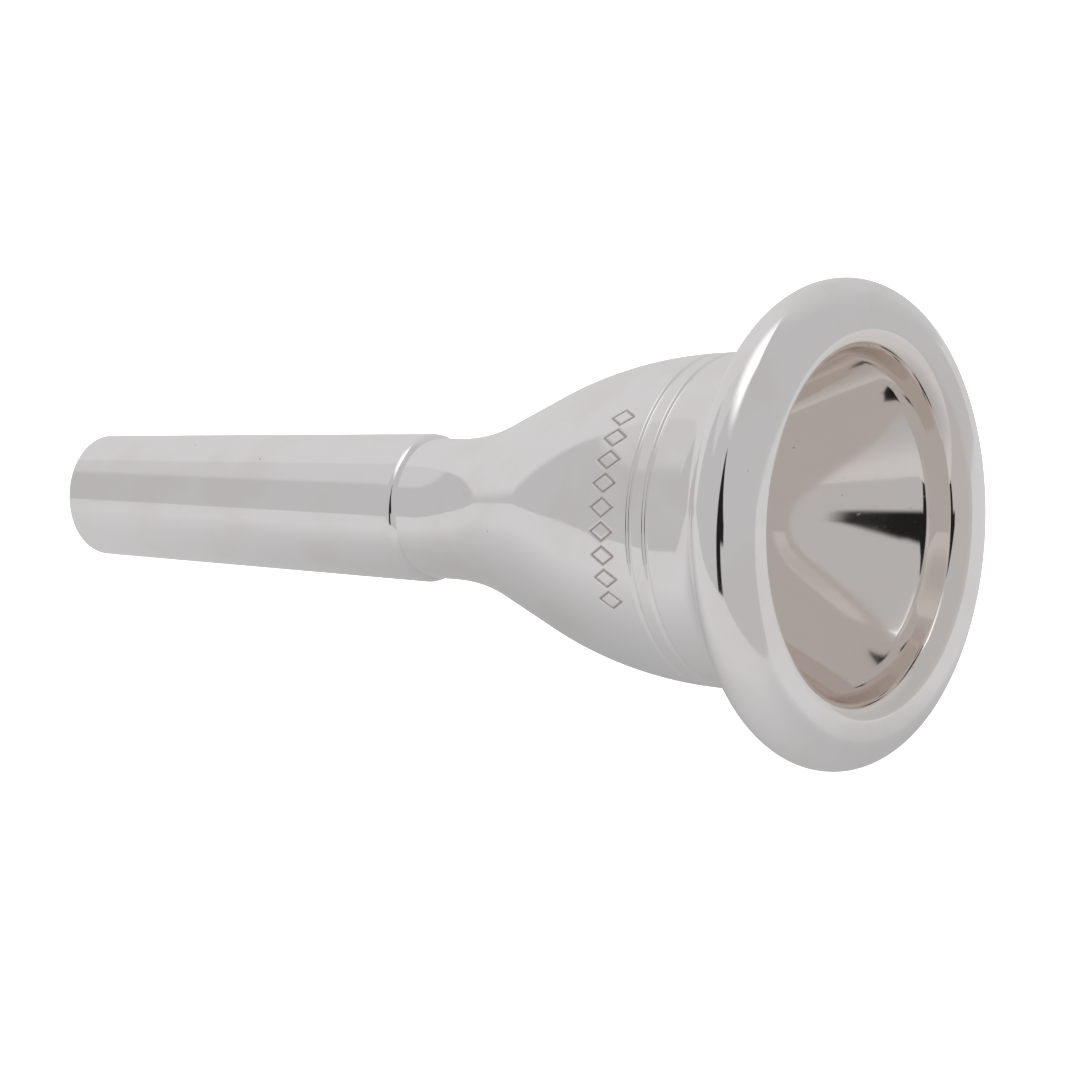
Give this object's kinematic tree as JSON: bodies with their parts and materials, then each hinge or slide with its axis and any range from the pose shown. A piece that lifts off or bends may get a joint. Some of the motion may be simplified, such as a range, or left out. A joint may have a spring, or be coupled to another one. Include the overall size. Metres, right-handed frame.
{
  "type": "brass instrument mouthpiece",
  "caption": "Tuba mouthpiece: tapered shank, flared cup with two turned grooves and a wide rolled rim, silver-plated, mirror polished.",
  "frame": {"origin": "centre of the shank's end face, on the mouthpiece's axis", "axes": "+X along the axis from the shank to the rim; the part is round about X"},
  "size_m": [0.0947, 0.0452, 0.0452],
  "materials": {
    "silver_plate": "polished silver plate on turned brass"
  },
  "bodies": {
    "root": {"shank": "silver_plate", "cup": "silver_plate", "rim": "silver_plate"}
  },
  "joints": []
}
